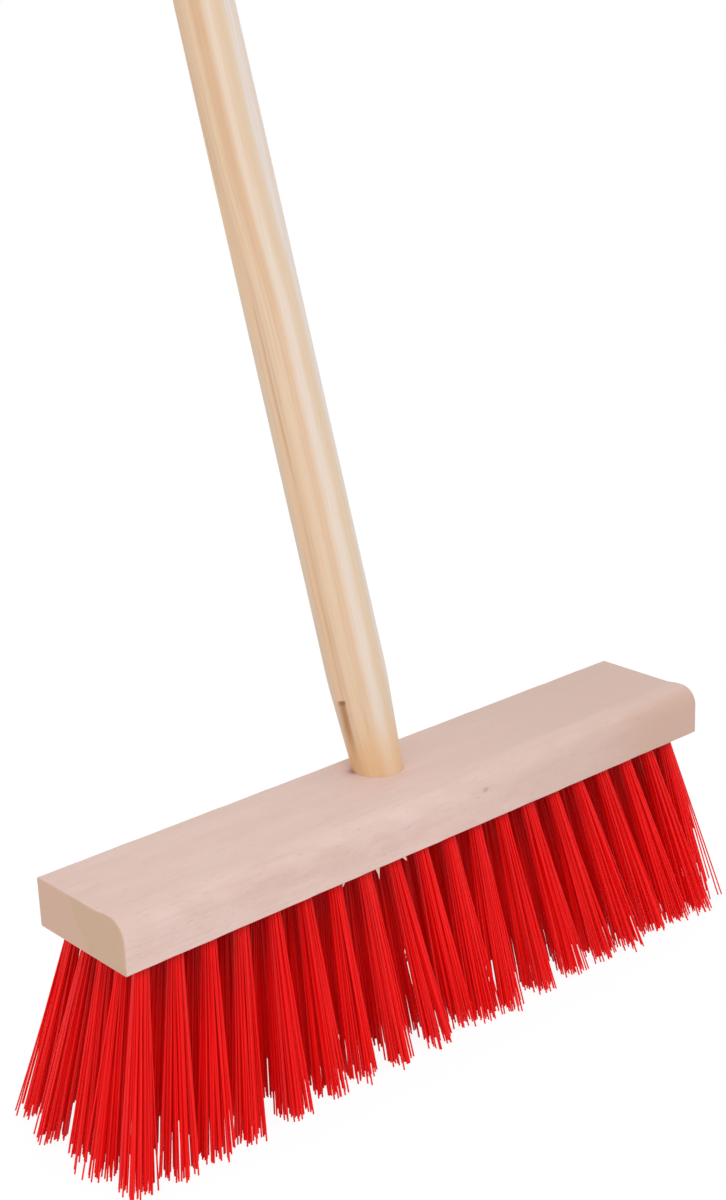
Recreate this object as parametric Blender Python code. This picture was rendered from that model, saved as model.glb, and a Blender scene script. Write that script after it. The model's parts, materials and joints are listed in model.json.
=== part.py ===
"""Street broom: a beech block with five rows of tufts and a round handle pushed into a slanted socket.

The origin is the middle of the block's flat top. +X runs along the block, +Y towards its back, which is
the way the handle leans, and +Z up. Lengths are in metres and angles in degrees.
"""

import math
import random

import bmesh
import bpy

# Block: a bar of beech with a raised, rounded front edge
BLOCK_LENGTH = 0.400
BLOCK_WIDTH = 0.071
BLOCK_HEIGHT = 0.026
LIP_RISE = 0.0010
LIP_CREST = 0.0125
LIP_FOOT = 0.0220
NOSE_RADIUS = 0.0100
EDGE_BREAK = 0.0007

# Handle: a round pine stick with a tapered foot
HANDLE_LENGTH = 1.400
HANDLE_DIAMETER = 0.0319
HANDLE_TOP_DIAMETER = 0.0290
FOOT_DIAMETER = 0.0268
FOOT_TAPER = 0.050
FOOT_CHAMFER = 0.0012
SHOULDER_EASE = 0.003
TOP_ROUNDING = 0.012
HANDLE_LEAN_DEG = 16.0
HANDLE_SETBACK = 0.015
SOCKET_DEPTH = 0.018

# Tufts: bundles of red bristle, each folded and wired into its own drilled hole
TUFT_LINES = 20
TUFT_ROWS = 5
END_MARGIN = 0.01475
SIDE_MARGIN = 0.0091
TUFT_DIAMETER = 0.0076
TUFT_HOLE_DEPTH = 0.011
BRISTLE_LENGTH = 0.105
RAGGED_LENGTH = 0.010
FLUSH_TIP_SHARE = 0.3
TIP_SPREAD = 0.0050
TIP_WANDER = 0.0009
TIP_SIZE_SHARE = 1.5
LEFT_LEAN_DEG = 10.5
RIGHT_LEAN_DEG = 8.0
SIDE_LEAN_DEG = 9.5

# Backing: the slice of the block's underside that each line of tufts is fused to
BACKING_THICKNESS = 0.002
BACKING_RIM = 0.003

# Fits and facets
FIT_GAP = 0.0003
CUT_OVERRUN = 0.010
MERGE_DISTANCE = 0.00003
ROUND_SIDES = 32
ARC_STEPS = 6
STRANDS_PER_TUFT = 4
TUFT_SIDES = 2 * STRANDS_PER_TUFT
SHARP_EDGE_DEG = 30.0
BROKEN_EDGE_DEG = 50.0
RANDOM_SEED = 11

# Finishes: a colour and a roughness
BEECH = ((0.72, 0.54, 0.45, 1.0), 0.62)
PINE = ((0.80, 0.60, 0.38, 1.0), 0.50)
RED_BRISTLE = ((0.80, 0.012, 0.014, 1.0), 0.32)


def clear_scene():
    """Remove every object that the file opens with."""
    for old in list(bpy.data.objects):
        bpy.data.objects.remove(old, do_unlink=True)


def finish_material(name, finish):
    """Return a plain Principled material from a colour and a roughness."""
    colour, roughness = finish
    material = bpy.data.materials.new(name)
    material.use_nodes = True
    shader = material.node_tree.nodes["Principled BSDF"]
    shader.inputs["Base Color"].default_value = colour
    shader.inputs["Roughness"].default_value = roughness
    shader.inputs["Metallic"].default_value = 0.0
    material.diffuse_color = colour
    return material


def new_object(name, bm, finish=None):
    """Turn a bmesh into a named object, shaded smooth between its sharp edges."""
    bmesh.ops.recalc_face_normals(bm, faces=bm.faces)
    mesh = bpy.data.meshes.new(name)
    bm.to_mesh(mesh)
    bm.free()
    mesh.shade_smooth()
    mesh.set_sharp_from_angle(angle=math.radians(SHARP_EDGE_DEG))
    obj = bpy.data.objects.new(name, mesh)
    bpy.context.scene.collection.objects.link(obj)
    if finish is not None:
        mesh.materials.append(finish_material(name, finish))
    return obj


def mark_as_cutter(obj):
    """Hide a shape that only cuts other pieces."""
    obj.hide_render = True
    obj.display_type = "WIRE"


def cut(obj, cutter):
    """Take the cutter's volume out of the object."""
    boolean = obj.modifiers.new("cut " + cutter.name, "BOOLEAN")
    boolean.operation = "DIFFERENCE"
    boolean.solver = "EXACT"
    boolean.object = cutter


def turned(profile):
    """Spin a profile of (radius, height) points, both ends on the axis, into a closed round body."""
    bm = bmesh.new()
    points = [bm.verts.new((radius, 0.0, height)) for radius, height in profile]
    edges = [bm.edges.new(pair) for pair in zip(points, points[1:])]
    bmesh.ops.spin(
        bm,
        geom=points + edges,
        cent=(0.0, 0.0, 0.0),
        axis=(0.0, 0.0, 1.0),
        angle=math.tau,
        steps=ROUND_SIDES,
        use_merge=True,
    )
    bmesh.ops.remove_doubles(bm, verts=bm.verts, dist=MERGE_DISTANCE)
    return bm


def lean_on_handle_axis(obj):
    """Stand an object that was made upright on the handle's leaning axis."""
    obj.location = (0.0, HANDLE_SETBACK, 0.0)
    obj.rotation_euler = (-math.radians(HANDLE_LEAN_DEG), 0.0, 0.0)


def foot_radius(height):
    """Radius of the handle's tapered foot at a height along the handle above the block's top."""
    slope = (HANDLE_DIAMETER - FOOT_DIAMETER) / 2 / FOOT_TAPER
    return FOOT_DIAMETER / 2 + slope * height


def block_section():
    """Outline of the block across its length, as (y, z) points that run once round it."""
    front = -BLOCK_WIDTH / 2
    back = BLOCK_WIDTH / 2
    section = [(back, 0.0), (back, -BLOCK_HEIGHT), (front, -BLOCK_HEIGHT)]
    for step in range(ARC_STEPS + 1):
        turn = math.pi / 2 * step / ARC_STEPS
        y = front + NOSE_RADIUS * (1 - math.cos(turn))
        z = LIP_RISE - NOSE_RADIUS * (1 - math.sin(turn))
        section.append((y, z))
    for step in range(ARC_STEPS + 1):
        share = step / ARC_STEPS
        y = front + LIP_CREST + (LIP_FOOT - LIP_CREST) * share
        z = LIP_RISE * (1 + math.cos(math.pi * share)) / 2
        section.append((y, z))
    return section


def make_block():
    """The bar of wood, before its socket and tuft holes are cut."""
    bm = bmesh.new()
    corners = [bm.verts.new((-BLOCK_LENGTH / 2, y, z)) for y, z in block_section()]
    end_face = bm.faces.new(corners)
    grown = bmesh.ops.extrude_face_region(bm, geom=[end_face])["geom"]
    moved = [item for item in grown if isinstance(item, bmesh.types.BMVert)]
    bmesh.ops.translate(bm, verts=moved, vec=(BLOCK_LENGTH, 0.0, 0.0))
    block = new_object("block", bm, BEECH)
    edges = block.modifiers.new("broken edges", "BEVEL")
    edges.width = EDGE_BREAK
    edges.segments = 1
    edges.limit_method = "ANGLE"
    edges.angle_limit = math.radians(BROKEN_EDGE_DEG)
    return block


def make_handle():
    """The stick: a chamfered end, a tapered foot, a gently tapering shaft and a rounded top."""
    end = FIT_GAP - SOCKET_DEPTH
    top = end + HANDLE_LENGTH
    shaft_radius = HANDLE_DIAMETER / 2
    top_radius = HANDLE_TOP_DIAMETER / 2
    profile = [
        (0.0, end),
        (foot_radius(end) - FOOT_CHAMFER, end),
        (foot_radius(end + FOOT_CHAMFER), end + FOOT_CHAMFER),
        (foot_radius(0.0), 0.0),
        (foot_radius(FOOT_TAPER - SHOULDER_EASE), FOOT_TAPER - SHOULDER_EASE),
        (shaft_radius, FOOT_TAPER + SHOULDER_EASE),
    ]
    for step in range(ARC_STEPS):
        turn = math.pi / 2 * step / ARC_STEPS
        height = top - TOP_ROUNDING * (1 - math.sin(turn))
        profile.append((top_radius * math.cos(turn), height))
    profile.append((0.0, top))
    handle = new_object("handle", turned(profile), PINE)
    lean_on_handle_axis(handle)
    return handle


def make_socket_cutter():
    """The slanted, tapered socket, which clears the handle's foot by a fit gap."""
    low = -SOCKET_DEPTH
    high = CUT_OVERRUN
    profile = [
        (0.0, low),
        (foot_radius(low) + FIT_GAP, low),
        (foot_radius(high) + FIT_GAP, high),
        (0.0, high),
    ]
    cutter = new_object("socket cutter", turned(profile))
    lean_on_handle_axis(cutter)
    mark_as_cutter(cutter)
    return cutter


def line_positions():
    """X of every line of tufts, from the left end to the right."""
    first = -BLOCK_LENGTH / 2 + END_MARGIN
    pitch = -2 * first / (TUFT_LINES - 1)
    return [first + pitch * number for number in range(TUFT_LINES)]


def row_positions():
    """Y of every row of tufts, from the front to the back."""
    first = -BLOCK_WIDTH / 2 + SIDE_MARGIN
    pitch = -2 * first / (TUFT_ROWS - 1)
    return [first + pitch * number for number in range(TUFT_ROWS)]


def socket_is_above(x, y):
    """True where a tuft hole would break into the handle's socket."""
    lean = math.radians(HANDLE_LEAN_DEG)
    hole_top = BLOCK_HEIGHT - TUFT_HOLE_DEPTH
    socket_floor = SOCKET_DEPTH * math.cos(lean) + foot_radius(-SOCKET_DEPTH) * math.sin(lean)
    if socket_floor < hole_top:
        return False
    for depth in (hole_top, socket_floor):
        reach = (foot_radius(-depth) + FIT_GAP) / math.cos(lean) + TUFT_DIAMETER / 2 + FIT_GAP
        axis_y = HANDLE_SETBACK - depth * math.tan(lean)
        if math.hypot(x, y - axis_y) < reach:
            return True
    return False


def open_rows(x):
    """Y of the rows that have a tuft in the line at x."""
    return [y for y in row_positions() if not socket_is_above(x, y)]


def loop_edges(bm, corners):
    """Edges that join the corners into one closed loop."""
    return [bm.edges.new((corners[i - 1], corners[i])) for i in range(len(corners))]


def ring(bm, x, y, z, radius):
    """The corners of a tuft's round outline."""
    corners = []
    for side in range(TUFT_SIDES):
        turn = math.tau * side / TUFT_SIDES
        corners.append(bm.verts.new((x + radius * math.cos(turn), y + radius * math.sin(turn), z)))
    return corners


def bridge(bm, lower, upper):
    """Walls between two loops of corners that lie one above the other."""
    for i in range(len(lower)):
        bm.faces.new((lower[i - 1], lower[i], upper[i], upper[i - 1]))


def slab(bm, x_range, y_range, z_range):
    """The four side walls of a slab. Returns the loops of its lower and its upper corners."""
    (x0, x1), (y0, y1) = x_range, y_range
    plan = [(x0, y0), (x1, y0), (x1, y1), (x0, y1)]
    lower = [bm.verts.new((x, y, z_range[0])) for x, y in plan]
    upper = [bm.verts.new((x, y, z_range[1])) for x, y in plan]
    bridge(bm, lower, upper)
    return lower, upper


def edges_between(bm, corners):
    """Edges that are already there between the given corners."""
    return [edge for edge in bm.edges if all(vert in corners for vert in edge.verts)]


def backing_half_sizes():
    """Half length and half width of the pocket that the backing fills."""
    return BLOCK_LENGTH / 2 - BACKING_RIM, BLOCK_WIDTH / 2 - BACKING_RIM


def studs(bm, places, foot_z, head_z, radius):
    """A round stud at each place. Returns the edges of the outlines at their feet."""
    rims = []
    for x, y in places:
        foot = ring(bm, x, y, foot_z, radius)
        head = ring(bm, x, y, head_z, radius)
        rims += loop_edges(bm, foot)
        bridge(bm, foot, head)
        bm.faces.new(head)
    return rims


def make_tuft_cutter():
    """The shallow pocket of the underside and the blind hole of every tuft, as one cutter."""
    half_x, half_y = backing_half_sizes()
    ceiling = -BLOCK_HEIGHT + BACKING_THICKNESS + FIT_GAP
    hole_top = -BLOCK_HEIGHT + TUFT_HOLE_DEPTH
    places = [(x, y) for x in line_positions() for y in open_rows(x)]
    bm = bmesh.new()
    lower, upper = slab(bm, (-half_x, half_x), (-half_y, half_y), (-BLOCK_HEIGHT - CUT_OVERRUN, ceiling))
    rims = edges_between(bm, upper) + studs(bm, places, ceiling, hole_top, TUFT_DIAMETER / 2 + FIT_GAP)
    bmesh.ops.triangle_fill(bm, edges=rims, use_beauty=True, normal=(0.0, 0.0, 1.0))
    bm.faces.new(lower)
    cutter = new_object("tuft hole cutter", bm)
    mark_as_cutter(cutter)
    return cutter


def strand(bm, root, tuft, slope, chance):
    """One four-sided strand, from its corners at the root to its own tip, cut square across."""
    shortening = max(0.0, chance.random() - FLUSH_TIP_SHARE) / (1 - FLUSH_TIP_SHARE)
    length = BRISTLE_LENGTH - RAGGED_LENGTH * shortening**2
    centre_x = sum(vert.co.x for vert in root) / len(root)
    centre_y = sum(vert.co.y for vert in root) / len(root)
    side_x = math.copysign(1.0, centre_x - tuft[0])
    side_y = math.copysign(1.0, centre_y - tuft[1])
    grown = length / BRISTLE_LENGTH
    spread_x = tuft[0] + side_x * TIP_SPREAD + chance.uniform(-TIP_WANDER, TIP_WANDER) - centre_x
    spread_y = tuft[1] + side_y * TIP_SPREAD + chance.uniform(-TIP_WANDER, TIP_WANDER) - centre_y
    tip_x = centre_x + slope[0] * length + spread_x * grown
    tip_y = centre_y + slope[1] * length + spread_y * grown
    size = 1 + (TIP_SIZE_SHARE - 1) * grown
    tip = []
    for vert in root:
        x = tip_x + (vert.co.x - centre_x) * size
        y = tip_y + (vert.co.y - centre_y) * size
        tip.append(bm.verts.new((x, y, -BLOCK_HEIGHT - length)))
    bridge(bm, root, tip)
    bm.faces.new(tip)


def tuft_strands(bm, x, y, chance):
    """The strands of one tuft, side by side round its middle. Returns the edges of their outline."""
    end_lean = RIGHT_LEAN_DEG if x > 0 else LEFT_LEAN_DEG
    slope_x = math.tan(math.radians(end_lean)) * x / line_positions()[-1]
    slope_y = math.tan(math.radians(SIDE_LEAN_DEG)) * y / row_positions()[-1]
    corners = ring(bm, x, y, -BLOCK_HEIGHT, TUFT_DIAMETER / 2)
    edges = loop_edges(bm, corners)
    middle = bm.verts.new((x, y, -BLOCK_HEIGHT))
    for number in range(STRANDS_PER_TUFT):
        start = 2 * number
        root = [middle, corners[start], corners[start + 1], corners[(start + 2) % TUFT_SIDES]]
        strand(bm, root, (x, y), (slope_x, slope_y), chance)
    return edges


def make_tuft_line(number, x, x_range, chance):
    """A slice of the backing with the roots of one line of tufts above it and their strands below."""
    half_y = backing_half_sizes()[1] - FIT_GAP
    backing_top = -BLOCK_HEIGHT + BACKING_THICKNESS
    root_top = -BLOCK_HEIGHT + TUFT_HOLE_DEPTH - FIT_GAP
    places = [(x, y) for y in open_rows(x)]
    bm = bmesh.new()
    lower, upper = slab(bm, x_range, (-half_y, half_y), (-BLOCK_HEIGHT, backing_top))
    rims = edges_between(bm, upper) + studs(bm, places, backing_top, root_top, TUFT_DIAMETER / 2)
    bmesh.ops.triangle_fill(bm, edges=rims, use_beauty=True, normal=(0.0, 0.0, 1.0))
    rims = edges_between(bm, lower)
    for x, y in places:
        rims += tuft_strands(bm, x, y, chance)
    bmesh.ops.triangle_fill(bm, edges=rims, use_beauty=True, normal=(0.0, 0.0, -1.0))
    return new_object(f"tuft_line_{number:02d}", bm, RED_BRISTLE)


def make_tuft_lines():
    """All lines of tufts, side by side in the pocket with a gap between them."""
    chance = random.Random(RANDOM_SEED)
    positions = line_positions()
    half_x = backing_half_sizes()[0] - FIT_GAP / 2
    limits = [-half_x] + [(a + b) / 2 for a, b in zip(positions, positions[1:])] + [half_x]
    lines = []
    for index, x in enumerate(positions):
        x_range = (limits[index] + FIT_GAP / 2, limits[index + 1] - FIT_GAP / 2)
        lines.append(make_tuft_line(index + 1, x, x_range, chance))
    tufts = sum(len(open_rows(x)) for x in positions)
    print(f"{len(lines)} lines, {tufts} tufts, {tufts * STRANDS_PER_TUFT} strands")
    return lines


def main():
    """Build the handle, and the head, which slides off along the handle's axis."""
    clear_scene()
    make_handle()
    block = make_block()
    cut(block, make_socket_cutter())
    cut(block, make_tuft_cutter())
    head = bpy.data.objects.new("head seat", None)
    bpy.context.scene.collection.objects.link(head)
    head.location = (0.0, HANDLE_SETBACK, 0.0)
    for piece in [block] + make_tuft_lines():
        piece.parent = head
        piece.location = (0.0, -HANDLE_SETBACK, 0.0)


main()
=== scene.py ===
# %% [markdown]
# # A street broom, dressed
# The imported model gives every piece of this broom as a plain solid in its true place: a beech
# block, a pine handle and twenty lines of tufts. This lesson gives them their looks. Wood gets its
# grain and its softened edges, and each coarse tuft becomes a bundle of single red bristles.
# Everything is in metres, +X runs along the block and +Z is up.

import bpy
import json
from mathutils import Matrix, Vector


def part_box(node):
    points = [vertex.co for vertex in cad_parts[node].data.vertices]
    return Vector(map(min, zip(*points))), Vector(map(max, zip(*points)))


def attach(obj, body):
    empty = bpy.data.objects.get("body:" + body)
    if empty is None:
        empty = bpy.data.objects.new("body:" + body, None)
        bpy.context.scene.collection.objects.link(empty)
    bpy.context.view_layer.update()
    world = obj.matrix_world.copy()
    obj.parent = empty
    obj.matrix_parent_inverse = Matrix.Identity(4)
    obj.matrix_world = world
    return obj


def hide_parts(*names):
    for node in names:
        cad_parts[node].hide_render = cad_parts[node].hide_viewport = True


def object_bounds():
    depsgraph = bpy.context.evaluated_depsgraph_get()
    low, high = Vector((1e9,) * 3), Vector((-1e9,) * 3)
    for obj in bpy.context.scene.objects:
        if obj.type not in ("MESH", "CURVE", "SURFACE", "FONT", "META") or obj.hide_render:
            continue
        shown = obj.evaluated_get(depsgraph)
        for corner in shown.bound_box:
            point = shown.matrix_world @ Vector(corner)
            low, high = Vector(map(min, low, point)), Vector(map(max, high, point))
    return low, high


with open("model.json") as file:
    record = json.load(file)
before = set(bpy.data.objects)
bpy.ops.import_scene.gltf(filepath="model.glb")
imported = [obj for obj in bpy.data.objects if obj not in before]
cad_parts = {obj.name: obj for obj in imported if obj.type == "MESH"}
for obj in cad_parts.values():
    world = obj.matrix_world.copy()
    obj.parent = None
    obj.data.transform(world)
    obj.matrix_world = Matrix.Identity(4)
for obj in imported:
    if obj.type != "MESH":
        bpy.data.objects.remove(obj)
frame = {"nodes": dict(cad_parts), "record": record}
solid_low, solid_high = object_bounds()

# %% [markdown]
# ## Sizes that everything follows
# A size is read from the model where the model holds it. The block's box gives its length, width
# and underside. The mount that holds the broom up lies on the handle's axis, so it gives the
# direction of the handle and the point where it enters the block's top, at height zero.

# %% Read the sizes
import json
import math

import bmesh
import bpy
import numpy as np
from mathutils import Matrix, Vector

MM = 0.001
block_low, block_high = (np.array(corner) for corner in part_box("block"))
underside = block_low[2]
hold = next(mount for mount in frame["record"]["mounts"] if mount["name"] == "handle_hold")
handle_axis = np.array(hold["axis"]) / np.linalg.norm(hold["axis"])
handle_foot = np.array(hold["pos_m"]) - handle_axis * hold["pos_m"][2] / handle_axis[2]
handle_side = np.array([1.0, 0.0, 0.0])
handle_back = np.cross(handle_axis, handle_side)
print("block, mm:", (block_high - block_low) / MM, "handle enters at", handle_foot / MM)

# %% [markdown]
# ## From arrays to meshes
# Each new piece is a surface worked out as whole arrays of points: rows along the piece, and in
# each row a closed ring round it. The faces of such a grid follow from the counts alone. A mesh
# that closes a volume should have its faces pointing out, and the sign of its volume tells: a
# pyramid from the origin to each face adds to the sum when the face looks away from the origin.

# %% Grid faces and a mesh maker
SMOOTH_UP_TO_DEG = 35.0


def ring_faces(rows, sides):
    """Quads between rings: corner i of ring r meets i and i + 1 of ring r + 1, round and round."""
    here = np.arange(rows - 1)[:, None] * sides + np.arange(sides)
    right = np.arange(rows - 1)[:, None] * sides + (np.arange(sides) + 1) % sides
    return np.stack([here, right, right + sides, here + sides], axis=-1).reshape(-1, 4)


def tube_faces(count, rows, sides):
    """The same capped tube again and again, each copy's corners counted on from the last."""
    walls = ring_faces(rows, sides)
    copies = np.arange(count)[:, None, None] * rows * sides
    caps = np.stack([np.arange(sides)[::-1], (rows - 1) * sides + np.arange(sides)])
    return (walls + copies).reshape(-1, 4).tolist() + (caps + copies).reshape(-1, sides).tolist()


def signed_volume(mesh):
    """A sixth of the sum of a . (b x c) over the mesh's triangles, with corners a, b and c."""
    mesh.calc_loop_triangles()
    corners = np.empty(len(mesh.loop_triangles) * 3, np.int32)
    mesh.loop_triangles.foreach_get("vertices", corners)
    points = np.empty(len(mesh.vertices) * 3)
    mesh.vertices.foreach_get("co", points)
    a, b, c = points.reshape(-1, 3)[corners.reshape(-1, 3)].transpose(1, 0, 2)
    return np.einsum("ij,ij->i", a, np.cross(b, c)).sum() / 6


def make_piece(name, points, faces):
    """A named object from points and faces, turned to face outwards and shaded smooth."""
    mesh = bpy.data.meshes.new(name)
    mesh.from_pydata(points.reshape(-1, 3).tolist(), [], faces)
    if signed_volume(mesh) < 0:
        mesh.flip_normals()
    mesh.shade_smooth()
    mesh.set_sharp_from_angle(angle=math.radians(SMOOTH_UP_TO_DEG))
    piece = bpy.data.objects.new(name, mesh)
    bpy.context.scene.collection.objects.link(piece)
    return piece


# %% [markdown]
# ## Unevenness without a pattern
# Hand-worn wood is never quite straight. A sum of a few sine waves whose lengths don't fit one
# another is the cheapest smooth wander: it needs no random numbers and gives the same line again.

# %% A smooth wander
WANDER_SHARES = (1.0, 0.618, 0.382)


def wander(place, wavelength):
    """Between -1 and 1: the mean of sines of one wavelength and of shares of it."""
    waves = [np.sin(math.tau * place / (wavelength * share)) for share in WANDER_SHARES]
    return sum(waves) / len(waves)


# %% [markdown]
# ## The block
# The real block is a bar of beech, planed flat. Its front edge is milled into a low lip and a
# round nose, and its other edges are only broken with sandpaper. Bevels on a cube can't make the
# lip, so the bar's outline is carried along X instead: arcs for the corners, a quarter circle for
# the nose and half a cosine wave for the step behind the lip.

# %% The block's outline
LIP_CREST = 12.5 * MM
LIP_FOOT = 22.0 * MM
NOSE_RADIUS = 10.0 * MM
EDGE_RADIUS = 0.8 * MM
EDGE_WEAR = 0.35 * MM
EDGE_WAVE = 47 * MM
LIP_POINTS = 14
NOSE_POINTS = 16
EDGE_POINTS = 5


def arc(centre_y, centre_z, radius, from_deg, to_deg, steps):
    """Points (centre + radius cos a, centre + radius sin a), for a radius that may vary by row."""
    turn = np.radians(np.linspace(from_deg, to_deg, steps))
    y = centre_y + radius * np.cos(turn)
    z = centre_z + radius * np.sin(turn)
    return np.stack(np.broadcast_arrays(y, z), -1)


def block_outline(x):
    """Rows of (y, z): one outline for every x, with worn corners. The flat top is at height 0."""
    front, back = block_low[1], block_high[1]
    lip = block_high[2]
    worn = EDGE_RADIUS + EDGE_WEAR * wander(x, EDGE_WAVE)[:, None]
    step = np.linspace(0.0, 1.0, LIP_POINTS)
    step_y = front + LIP_FOOT + (LIP_CREST - LIP_FOOT) * step
    step_z = lip * (1 - np.cos(math.pi * step)) / 2
    slope = np.broadcast_to(np.stack([step_y, step_z], -1), (len(x), len(step), 2))
    round_nose = np.full_like(worn, NOSE_RADIUS)
    return np.concatenate(
        [
            arc(back - worn, underside + worn, worn, -90, 0, EDGE_POINTS),
            arc(back - worn, -worn, worn, 0, 90, EDGE_POINTS),
            slope,
            arc(front + NOSE_RADIUS, lip - NOSE_RADIUS, round_nose, 90, 180, NOSE_POINTS),
            arc(front + worn, underside + worn, worn, 180, 270, EDGE_POINTS),
        ],
        axis=1,
    )


# %% [markdown]
# The saw cut the bar's ends square, and sandpaper took the sharpness off. Near each end the
# outline shrinks towards its own middle along a quarter circle, which rounds the end's rim.

# %% The block's body
END_STEPS = 5
BODY_STEP = 8 * MM


def end_inset(distance):
    """How far the rim has drawn in at a distance from the end: r - sqrt(r^2 - (r - d)^2)."""
    left = np.clip(EDGE_RADIUS - distance, 0, EDGE_RADIUS)
    return EDGE_RADIUS - np.sqrt(EDGE_RADIUS**2 - left**2)


def block_points():
    """The outline at every x, drawn in near both ends."""
    half = block_high[0]
    rim = EDGE_RADIUS * (1 - np.cos(np.linspace(0, math.pi / 2, END_STEPS)))
    body = np.linspace(rim[-1] - half, half - rim[-1], int(2 * half / BODY_STEP))
    x = np.concatenate([rim - half, body[1:-1], half - rim[::-1]])
    outline = block_outline(x)
    middle = np.array([(block_low[1] + block_high[1]) / 2, (underside + block_high[2]) / 2])
    reach = np.array([block_high[1] - block_low[1], block_high[2] - underside]) / 2
    inset = end_inset(half - np.abs(x))[:, None, None]
    outline = middle + (outline - middle) * (1 - inset / reach)
    along = np.broadcast_to(x[:, None, None], outline.shape[:2] + (1,))
    return np.concatenate([along, outline], axis=-1)


points = block_points()
block = make_piece("block_wood", points, tube_faces(1, *points.shape[:2]))
print("block, litres:", round(1000 * signed_volume(block.data), 3))

# %% [markdown]
# ## Holes in the block
# The socket is a slanted tapered hole, and every tuft sits in a blind drilled hole. Holes are
# where a Boolean beats a formula: the shapes to take away are easy surfaces, and the cut finds
# the awkward curve where a leaning cone leaves a flat face. Each cutter widens at the mouth, as
# real holes do where the drill breaks the grain and the handle has crushed the rim.

# %% Places of the tufts
LINES = 20
ROWS = 5
END_MARGIN = 14.75 * MM
SIDE_MARGIN = 9.1 * MM
WORN_TUFT = (LINES - 1, 0)
WORN_TUFT_IN = 4.2 * MM
line_x = np.linspace(block_low[0] + END_MARGIN, block_high[0] - END_MARGIN, LINES)
row_y = np.linspace(block_low[1] + SIDE_MARGIN, block_high[1] - SIDE_MARGIN, ROWS)
SOCKET_LINES = (9, 10)
SOCKET_ROWS = (2, 3)


def has_tuft(line, row):
    """False for the holes that the socket above leaves no room for."""
    return not (line in SOCKET_LINES and row in SOCKET_ROWS)


def tuft_place(line, row):
    """The middle of a tuft. The one at the right front corner was drilled a little further in."""
    inwards = WORN_TUFT_IN if (line, row) == WORN_TUFT else 0.0
    return np.array([line_x[line] - inwards, row_y[row]])


tufts = [(line, row) for line in range(LINES) for row in range(ROWS) if has_tuft(line, row)]
print("tufts:", len(tufts))

# %% [markdown]
# The drill left 96 equal holes, so their cutters are one pin, copied to every place by adding the
# places to its points. All of them make one mesh, and one cut then does for all the holes. A cut
# can leave points almost on top of one another, and those are merged.

# %% Cutters for the holes
HOLE_RADIUS = 4.15 * MM
HOLE_DEPTH = 11 * MM
HOLE_SIDES = 20
MOUTH_FLARE = 0.25 * MM
SOCKET_SIDES = 72
SOCKET_DEPTH = 18 * MM
SOCKET_GAP = 0.12 * MM
OUTSIDE = 5 * MM
MERGE_WITHIN = 0.01 * MM


def turned_points(radii, stations, origin, axis, side, sides):
    """Rings round an axis: origin + s axis + r (cos a side + sin a (axis x side))."""
    turn = np.linspace(0, math.tau, sides, endpoint=False)[:, None]
    around = np.cos(turn) * side + np.sin(turn) * np.cross(axis, side)
    along = np.asarray(stations)[:, None, None] * axis
    return origin + along + np.asarray(radii)[:, None, None] * around


def merge_doubles(mesh):
    """Join points that lie closer together than any real edge, which a cut can leave."""
    joined = bmesh.new()
    joined.from_mesh(mesh)
    bmesh.ops.remove_doubles(joined, verts=joined.verts, dist=MERGE_WITHIN)
    joined.to_mesh(mesh)
    joined.free()


def cut_away(piece, cutter):
    """Subtract the cutter from the piece, keep the result as plain mesh and drop the cutter."""
    boolean = piece.modifiers.new("cut", "BOOLEAN")
    boolean.object = cutter
    boolean.solver = "EXACT"
    cut_piece = piece.evaluated_get(bpy.context.evaluated_depsgraph_get())
    cut_mesh = bpy.data.meshes.new_from_object(cut_piece)
    piece.modifiers.clear()
    piece.data = cut_mesh
    bpy.data.objects.remove(cutter)
    merge_doubles(cut_mesh)
    cut_mesh.shade_smooth()
    cut_mesh.set_sharp_from_angle(angle=math.radians(SMOOTH_UP_TO_DEG))


def tuft_hole_cutter():
    """All the drilled holes at once: each a short pin, with a cone across the underside."""
    up = np.array([0.0, 0.0, 1.0])
    heights = np.array([-OUTSIDE, -MOUTH_FLARE, MOUTH_FLARE, HOLE_DEPTH])
    radii = HOLE_RADIUS + 2 * MOUTH_FLARE * np.array([1, 1, 0, 0])
    pin = turned_points(radii, heights, np.zeros(3), up, handle_side, HOLE_SIDES)
    places = np.array([(*tuft_place(line, row), underside) for line, row in tufts])
    points = places[:, None, None, :] + pin
    return make_piece("hole_cutter", points, tube_faces(*points.shape[:3]))


# %% [markdown]
# The handle's foot and its socket share one taper, so the foot's radius is read from the handle's
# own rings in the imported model: how far its corners lie from the axis, station by station.

# %% The handle's profile, read from its solid
solid = frame["nodes"]["handle"].data
corners = np.empty(len(solid.vertices) * 3, np.float32)
solid.vertices.foreach_get("co", corners)
from_foot = corners.reshape(-1, 3) - handle_foot
station = from_foot @ handle_axis
distance = np.linalg.norm(from_foot - station[:, None] * handle_axis, axis=1)
order = np.argsort(station)
station, distance = station[order], distance[order]
handle_end, handle_top = station[0], station[-1]
on_skin = distance > distance.max() / 2


def handle_radius(s):
    """The solid's radius at a station s along the axis, in straight lines between its rings."""
    return np.interp(s, station[on_skin], distance[on_skin])


print("handle from, to, mm:", round(handle_end / MM, 1), round(handle_top / MM, 1))

# %% Cut the socket and the tuft holes
TAPER_AT = 5 * MM
socket_s = np.array([-SOCKET_DEPTH, 0.0, OUTSIDE])
taper = (handle_radius(2 * TAPER_AT) - handle_radius(TAPER_AT)) / TAPER_AT
socket_r = handle_radius(TAPER_AT) + taper * (socket_s - TAPER_AT) + SOCKET_GAP
points = turned_points(socket_r, socket_s, handle_foot, handle_axis, handle_side, SOCKET_SIDES)
cut_away(block, make_piece("socket_cutter", points, tube_faces(1, *points.shape[:2])))
cut_away(block, tuft_hole_cutter())
print("block faces after the cuts:", len(block.data.polygons))
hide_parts("block")
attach(block, "head")

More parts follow.
